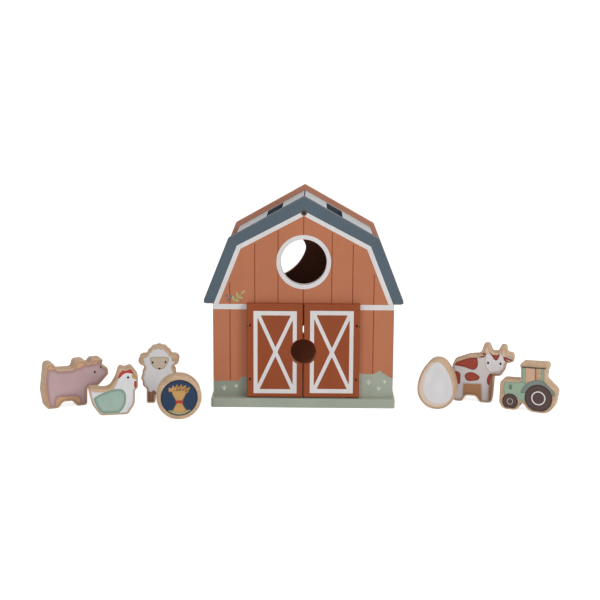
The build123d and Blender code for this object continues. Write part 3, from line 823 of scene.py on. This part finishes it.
def paint_hen():
    """White feathers, a green wing, a red comb and wattle, an ochre beak and an eye."""
    hen = Block("hen_block")
    wing_paint = face_paint("wing_paint", linear(167, 190, 178), linear(116, 146, 126), 4.4, wear=0.6)
    feathers = smooth([
        (-25.5, 27.4), (-17.9, 26.8), (-11.1, 26.4), (-1.9, 28), (1.2, 31.4), (3.7, 36.9),
        (6.1, 41.5), (10, 45.6), (14.6, 48), (20.7, 47), (24, 42), (25, 34), (28, 26), (27, 14),
        (22, 3), (15, -3), (0, -3), (-14, -3), (-23, 4), (-28, 14), (-28, 22),
    ])
    wing = smooth([
        (-21.2, 18.7), (-18, 22.1), (-11.1, 25.3), (-5, 27.4), (1.2, 28.9), (6.5, 28.9),
        (10.3, 27.5), (12.9, 23.4), (13.2, 16.9), (11.9, 10.6), (8.3, 5.2), (3.6, 1.4),
        (-3.3, 0.9), (-9.4, 1.6), (-14.7, 4.8), (-18.3, 10.6),
    ])
    comb = smooth([
        (4.6, 43), (6.6, 46.8), (9.2, 47.8), (9.9, 50.4), (11.8, 51.6), (14.7, 49.9),
        (16.7, 51.3), (19.3, 51.2), (21, 49.8), (21.5, 45.6), (17.7, 46), (14.6, 46.5),
        (10.9, 45), (8.2, 42.4), (6.1, 40.6),
    ])
    beak = smooth([
        (21.5, 50), (24.6, 48.7), (26.2, 43.5), (24.8, 39.9), (22.1, 39.7), (20.2, 41.4),
        (20.7, 46.1),
    ])
    wattle = smooth([
        (22.4, 35.7), (23.6, 37.2), (26, 34.7), (26.6, 32), (25.4, 28.7), (24, 28), (22.3, 31.3),
    ])
    hen.paint("feathers", hen.inside(feathers, 0.35), white_face)
    hen.paint("wing", hen.inside(wing, 0.8), wing_paint, layer=2)
    for label, loops, shader in (
        ("comb", comb, red_paint), ("beak", beak, ochre_paint), ("wattle", wattle, red_paint),
    ):
        hen.paint(label, hen.inside(loops, 0.35), shader, layer=2, step=0.8)
    hen.dot("eye", 15.9, 41.4, 1.3, 1.4, eye_paint, 3)


def paint_sheep():
    """Brown legs, a white fleece with a curly edge, and a pale face."""
    sheep = Block("sheep_block")
    leg_paint = face_paint("leg_paint", linear(160, 118, 94), linear(118, 84, 66), 3.4, wear=0.5)
    skin_paint = face_paint("sheep_skin_paint", linear(206, 190, 172), linear(174, 158, 138), 1.8)
    curls = [
        (-15.6, 57.8), (-12.6, 63.8), (-4.6, 66.4), (2.2, 67.6), (8.8, 65.8), (13.4, 60.6),
        (13.6, 52.8), (15.8, 45.6), (20.2, 38), (20.2, 30.6), (18, 23.2), (13, 17.6), (5.6, 15),
        (-1.8, 14.6), (-9.8, 15.6), (-16.4, 19.4), (-19.4, 26), (-20, 33.4), (-19, 40.6),
        (-14.8, 50),
    ]
    face = smooth([
        (-8.7, 53), (0.8, 53.4), (10.3, 52.7), (11.5, 49.4), (9.4, 44.5), (6.2, 40.4),
        (1.4, 38.8), (-4.2, 40.1), (-7.7, 43.8), (-9.2, 48.8),
    ])
    fleece = smooth(curls)
    for x, z in curls:
        fleece = combined("joined", fleece, ellipse(x * 0.97, z, 2.9, count=24))
    legs = combined("shared", sheep.area(0.3), rectangle(-30, 30, -1, 14.2))
    sheep.paint("legs", legs, leg_paint)
    sheep.paint("fleece", sheep.inside(fleece), white_face, layer=2)
    sheep.paint("face", face, skin_paint, layer=3)
    sheep.dot("eye_left", -6.7, 46.9, 1.1, 1.3, eye_paint, 4)
    sheep.dot("eye_right", 7.7, 47.3, 1.1, 1.3, eye_paint, 4)
    sheep.dot("nose", 0.8, 39.9, 1.5, 0.9, eye_paint, 4)


def paint_round_block():
    """A navy disc with a tied sheaf of wheat that stands on a strip of ground."""
    disc = Block("round_block")
    navy_paint = face_paint("navy_paint", linear(40, 62, 88), linear(34, 36, 44), 2.6, wear=0.35)
    ground_paint = face_paint("ground_paint", linear(176, 178, 140), linear(140, 142, 104), wear=0.4)
    middle = 24
    ground = combined("shared", ellipse(0, middle, 18.6, count=90), rectangle(-30, 30, 0, 10.4))
    sheaf = smooth([
        (-6.6, 8.6), (-3.2, 17.8), (-3.4, 20.4), (-7.4, 30), (0, 32), (7.4, 30), (3.4, 20.4),
        (3.2, 17.8), (6.6, 8.6),
    ])
    tie_z = 19
    for lean in (-34, -21, -8, 6, 19, 33):
        c, k = math.cos(math.radians(lean)), math.sin(math.radians(lean))
        for along, aside in ((14.6, 1.1), (16.4, -1.1), (18.2, 0.4)):
            grain_x = along * k + aside * c
            grain_z = tie_z + along * c - aside * k
            grain = ellipse(grain_x, grain_z, 1.1, 1.9, -lean, count=20)
            sheaf = combined("joined", sheaf, grain)
    tie = smooth([(-3.9, 17.6), (-3.9, 20.6), (0, 21.2), (3.9, 20.6), (3.9, 17.6), (0, 18.2)])
    disc.paint("panel", ellipse(0, middle, 19.8, count=90), navy_paint)
    disc.paint("ground", ground, ground_paint, layer=2)
    disc.paint("sheaf", sheaf, ochre_paint, layer=3)
    disc.paint("tie", tie, red_paint, layer=4, step=0.7)


def paint_egg():
    """A pale wash over the face, and a smaller white shell towards its upper right."""
    egg = Block("egg_block")
    shell_paint = face_paint("shell_paint", linear(230, 228, 230), linear(222, 204, 192), 1.8, wear=0.15)
    wash_paint = face_paint("wash_paint", linear(230, 208, 190), linear(206, 172, 146), 1.6)
    shell = inset(moved(egg.outline, 2.2, 1.6), 2.2)
    egg.paint("wash", egg.area(0.4), wash_paint)
    egg.paint("shell", egg.inside(shell, 0.8), shell_paint, layer=2)


COW_PATCHES = {
    "back": [
        (-34.5, 45), (-30, 49.4), (-23.6, 52.6), (-15.7, 53.5), (-8.5, 53.5), (-6.8, 51.1),
        (-5.8, 45.8), (-6.5, 40.8), (-9.6, 37.7), (-13.6, 37.9), (-19.2, 39.6), (-25.7, 40.9),
        (-31.6, 41.9),
    ],
    "belly": [
        (-20.2, 30), (-18.2, 33.1), (-14.3, 34.6), (-9.4, 34), (-5.4, 31.8), (-3.3, 29.4),
        (-5.2, 26), (-9.2, 24.9), (-14.8, 24.1), (-18.4, 25.6),
    ],
    "rump": [
        (-31, 34.6), (-26.7, 33.8), (-25, 31.4), (-24.9, 27.2), (-25.5, 20.5), (-28.3, 21),
        (-31.6, 27),
    ],
    "leg": [
        (4.8, 26.6), (5.8, 30.8), (8.1, 34.3), (10.5, 34), (10.2, 31.1), (8.8, 26), (7.4, 21),
        (5.7, 21.7),
    ],
    "forehead": [
        (6.9, 58.5), (12, 59), (16.8, 58.7), (18, 56.7), (17.4, 53.4), (15.1, 50), (12.3, 50.6),
        (9.8, 54.2),
    ],
    "ear_left": [
        (-6.9, 54.8), (-4.6, 57), (2.5, 57.9), (3, 55.8), (1.1, 52.8), (-3.6, 52.2),
        (-6.5, 53.2),
    ],
    "ear_right": [
        (22.5, 54.5), (25.7, 53.9), (30.5, 52.1), (32.5, 50.6), (29.8, 48.4), (25.8, 49),
        (23, 50.9),
    ],
}
COW_INNER_EARS = {
    "left": [(-4.6, 54.9), (1.4, 55.5), (1, 54.4), (-3.6, 53.9)],
    "right": [(24.8, 51.4), (28, 51), (30.2, 50.2), (27.6, 49.8)],
}


def paint_cow():
    """A pale coat with red brown patches. Stained wood shows under the belly and behind a leg."""
    cow = Block("cow_block")
    coat_paint = face_paint("coat_paint", linear(214, 208, 208), linear(176, 160, 154), 2.6, wear=0.3)
    face_white = linear(226, 222, 224)
    cow_face_paint = face_paint("cow_face_paint", face_white, linear(202, 168, 158), 1.8, wear=0.2)
    patch_paint = face_paint("patch_paint", linear(160, 72, 56), linear(112, 44, 36), 1.8, wear=0.6)
    brown_stain = face_paint("brown_stain", linear(168, 124, 88), linear(128, 90, 62), 2.6, wear=0.5)
    horn_paint = face_paint("horn_paint", linear(222, 200, 182), linear(200, 166, 140), 1.4)
    below_belly = polygon((-21.1, 20.6), (-1.8, 21.2), (-0.4, -2), (-21.8, -2))
    horns = [
        *polygon((-0.7, 59.4), (11, 59.4), (13.4, 72.2), (-0.6, 72.4)),
        *polygon((19.6, 58.6), (29.5, 54.7), (31.5, 72.1), (17.5, 72.2)),
    ]
    behind_leg = polygon(
        (8.4, -2), (7.4, 4.4), (7.1, 12.7), (7.6, 21), (9.4, 27), (11, 34.4), (18, 34.4), (18, -2),
    )
    coat = cow.area(0.5)
    for bare in (below_belly, horns, behind_leg):
        coat = combined("less", coat, bare)
    below_head = combined("shared", cow.area(0.3), rectangle(-40, 40, -2, 36))
    horn_tips = combined(
        "joined",
        smooth([(1.8, 57), (1.6, 62), (3.6, 65.4), (5.6, 62.4), (6.4, 57.6)]),
        smooth([(20.8, 55), (21, 61), (23.2, 64), (25.2, 59), (26.4, 54.4)]),
    )
    face = smooth([
        (1.7, 52), (2.2, 43), (4.8, 38), (10, 35.8), (17.5, 37), (23, 41), (24.6, 48.5),
        (22.4, 55), (19, 59.4), (12, 60), (5, 59.4), (2.2, 57),
    ])
    cow.paint("stain", below_head, brown_stain, "bare_wood")
    cow.paint("coat", coat, coat_paint, layer=2)
    cow.paint("horns", cow.inside(horn_tips), horn_paint, layer=4, step=0.9)
    cow.paint("face", combined("shared", face, coat), cow_face_paint, layer=3)
    for label, points in COW_PATCHES.items():
        cow.paint(f"patch_{label}", cow.inside(smooth(points)), patch_paint, layer=4, step=1.0)
    for label, points in COW_INNER_EARS.items():
        cow.paint(f"inner_ear_{label}", smooth(points), horn_paint, layer=5, step=0.6)
    cow.dot("eye_left", 5.5, 46.5, 1.2, 1.5, eye_paint, 5)
    cow.dot("eye_right", 19.3, 46.3, 1.2, 1.5, eye_paint, 5)


# Each wheel's middle and radius on the tractor's face
REAR_WHEEL = (12.2, 16.6, 15.3)
FRONT_WHEEL = (-19.2, 9.5, 8.8)


def paint_cab(tractor, green_paint):
    """The window, its posts and divider, and a painted shadow line under the roof."""
    glass_stain = face_paint("glass_stain", linear(220, 180, 152), linear(198, 150, 120), 1.2)
    bar_paint = face_paint("bar_paint", linear(150, 112, 76), wear=0.3)
    shadow_paint = face_paint("shadow_paint", linear(84, 86, 86), linear(70, 62, 56), 0.6)
    glass = polygon((-3.4, 33), (7.8, 35), (7.4, 49.9), (-3.4, 49.6))
    left_post = polygon((-6.9, 31.5), (-2.7, 31.5), (-3.1, 49.6), (-6.6, 49.4))
    right_post = polygon((14.4, 33), (17.8, 33), (17.1, 50.2), (14.2, 50.1))
    divider = polygon((7.9, 35), (9.1, 35), (8.5, 49.9), (7.4, 49.9))
    roof_shadow_line = polygon((-7.6, 49.1), (-7.6, 50.5), (7, 51.0), (19.3, 51.6), (19.0, 50.2), (6.4, 49.5))
    tractor.paint("glass", glass, glass_stain, "bare_wood", step=1.0)
    tractor.paint("post_left", left_post, green_paint, "tractor_paint", layer=2, step=1.0)
    tractor.paint("post_right", right_post, green_paint, "tractor_paint", step=1.0)
    tractor.paint("divider", divider, bar_paint, "bare_wood", layer=2, step=0.5)
    # A painted shadow under the cab's roof
    roof_shadow_line = tractor.inside(roof_shadow_line, step=0.25)
    tractor.paint("roof_shadow_line", roof_shadow_line, shadow_paint, "tractor_paint", layer=3, step=0.6)


def speckle(x, z, reach, angle, radius):
    """A tiny dot at this reach and angle from a wheel's middle."""
    return ellipse(x + reach * math.cos(angle), z + reach * math.sin(angle), radius, count=8)


def paint_wheels(tractor):
    """Tyres with a pale ring each, and small speckles in two circles and round the hub."""
    tyre_paint = face_paint("tyre_paint", linear(88, 70, 67), linear(58, 44, 41), 2.4, wear=0.7)
    ring_paint = face_paint("ring_paint", linear(246, 244, 242), linear(234, 230, 226), 0.6, wear=0.1)
    speckle_paint = face_paint("speckle_paint", linear(168, 156, 150), wear=0.3)
    for label, x, z, tyre, dots in (("rear", *REAR_WHEEL, 30), ("front", *FRONT_WHEEL, 18)):
        round_tyre = tractor.inside(ellipse(x, z, tyre, count=72))
        tractor.paint(f"{label}_tyre", round_tyre, tyre_paint, "tractor_paint", layer=4)
        hub = tyre * 0.2
        ratio = (tyre / REAR_WHEEL[2]) ** 2
        ring = ellipse(x, z, hub + 4.8 * ratio, count=60) + ellipse(x, z, hub + 3.5 * ratio, count=60)
        tractor.paint(f"{label}_ring", ring, ring_paint, layer=5, step=0.8)
        speckles = []
        for k in range(dots):
            reach = tyre * (0.72 if k % 2 else 0.82)
            speckles += speckle(x, z, reach, 2 * math.pi * k / dots, tyre * 0.016)
        for k in range(6):
            speckles += speckle(x, z, tyre * 0.16, math.pi * k / 3, tyre * 0.018)
        tractor.paint(f"{label}_speckles", speckles, speckle_paint, "tractor_paint", layer=5, step=2)


def paint_tractor():
    """A green body with a cab, a fender over the rear wheel, two wheels and a grille."""
    tractor = Block("tractor_block")
    green_paint = face_paint("tractor_paint", linear(160, 183, 160), linear(130, 152, 128), 1.6, wear=0.5)
    fender_paint = face_paint("fender_paint", linear(132, 144, 138), linear(110, 120, 112), 1.4, wear=0.5)
    grille_paint = face_paint("grille_paint", linear(112, 132, 112), linear(92, 112, 92), 0.6)
    hood = smooth([
        (-26, 31.2), (-15.4, 33.4), (-7.6, 33.4), (-2, 33), (-1, 24), (-3, 12), (-8, 11.6),
        (-12, 15), (-19, 18), (-26, 17),
    ])
    fender = combined("shared", ellipse(12.2, 16.4, 20.6, count=72), rectangle(-12, 40, 20.6, 60))
    tractor.paint("body", tractor.inside(hood), green_paint, "tractor_paint")
    paint_cab(tractor, green_paint)
    tractor.paint("fender", tractor.inside(fender), fender_paint, "tractor_paint", layer=3)
    paint_wheels(tractor)
    grille = rectangle(-20.9, -17.5, 23.2, 28.6)
    tractor.paint("grille", grille, grille_paint, "tractor_paint", layer=2, step=0.8)


# Light and floor
SOFT_LIGHT = 0.44
BACKGROUND_SEEN = 1.06
FLOOR_SEEN = 0.72
FLOOR_HALF = 4
FLOOR_DROP = 0.3
LIT_PLACE = (0, 0, 0.1)


def seen_rays(tree):
    """One for the rays that show the background: seen directly, in gloss or through glass."""
    path = tree.nodes.new("ShaderNodeLightPath")
    total = path.outputs["Is Camera Ray"]
    for name in ("Is Glossy Ray", "Is Transmission Ray"):
        both = tree.nodes.new("ShaderNodeMath")
        both.operation = "MAXIMUM"
        tree.links.new(total, both.inputs[0])
        tree.links.new(path.outputs[name], both.inputs[1])
        total = both.outputs["Value"]
    return total


def light_world():
    """Even white light from all round, which looks white where the background is seen."""
    world = bpy.data.worlds.new("studio")
    scene.world = world
    world.use_nodes = True
    tree = world.node_tree
    background = tree.nodes["Background"]
    seen = tree.nodes.new("ShaderNodeMix")
    tree.links.new(seen_rays(tree), seen.inputs["Factor"])
    seen.inputs[2].default_value = SOFT_LIGHT
    seen.inputs[3].default_value = BACKGROUND_SEEN
    background.inputs["Color"].default_value = (1, 1, 1, 1)
    tree.links.new(seen.outputs[0], background.inputs["Strength"])


def area_light(name, place, size, power):
    """A round soft lamp that points at the barn."""
    light = bpy.data.lights.new(name, "AREA")
    light.shape = "DISK"
    light.size = size
    light.energy = power
    lamp = bpy.data.objects.new(name, light)
    lamp.location = place
    lamp.rotation_mode = "QUATERNION"
    lamp.rotation_quaternion = (Vector(place) - Vector(LIT_PLACE)).to_track_quat("Z", "Y")
    scene.collection.objects.link(lamp)


def lay_floor():
    """A white paper floor, just under the base board, which keeps the object's shadow."""
    corners = [(FLOOR_HALF * x, FLOOR_HALF * y, 0) for x, y in ((-1, -1), (1, -1), (1, 1), (-1, 1))]
    mesh = bpy.data.meshes.new("floor")
    mesh.from_pydata(corners, [], [(0, 1, 2, 3)])
    floor = bpy.data.objects.new("floor", mesh)
    floor.location.z = -FLOOR_DROP * MM
    scene.collection.objects.link(floor)
    s = Shader("floor_paper", roughness=0.9, specular=0.0)
    s.bsdf.inputs["Base Color"].default_value = (0.86, 0.86, 0.86, 1)
    s.bsdf.inputs["Emission Color"].default_value = (1, 1, 1, 1)
    glow = s.math("MULTIPLY", seen_rays(s.material.node_tree), FLOOR_SEEN)
    s.links.new(glow, s.bsdf.inputs["Emission Strength"])
    mesh.materials.append(s.material)


paint_boards()
paint_gable()
paint_grass()
paint_sprig()
paint_socket()
paint_doors()
paint_pig()
paint_hen()
paint_sheep()
paint_round_block()
paint_egg()
paint_cow()
paint_tractor()
light_world()
area_light("key", (1.5, -1.5, 1.2), size=1.2, power=20)
area_light("fill", (-0.7, -1.7, 1.3), size=1.0, power=7)
lay_floor()
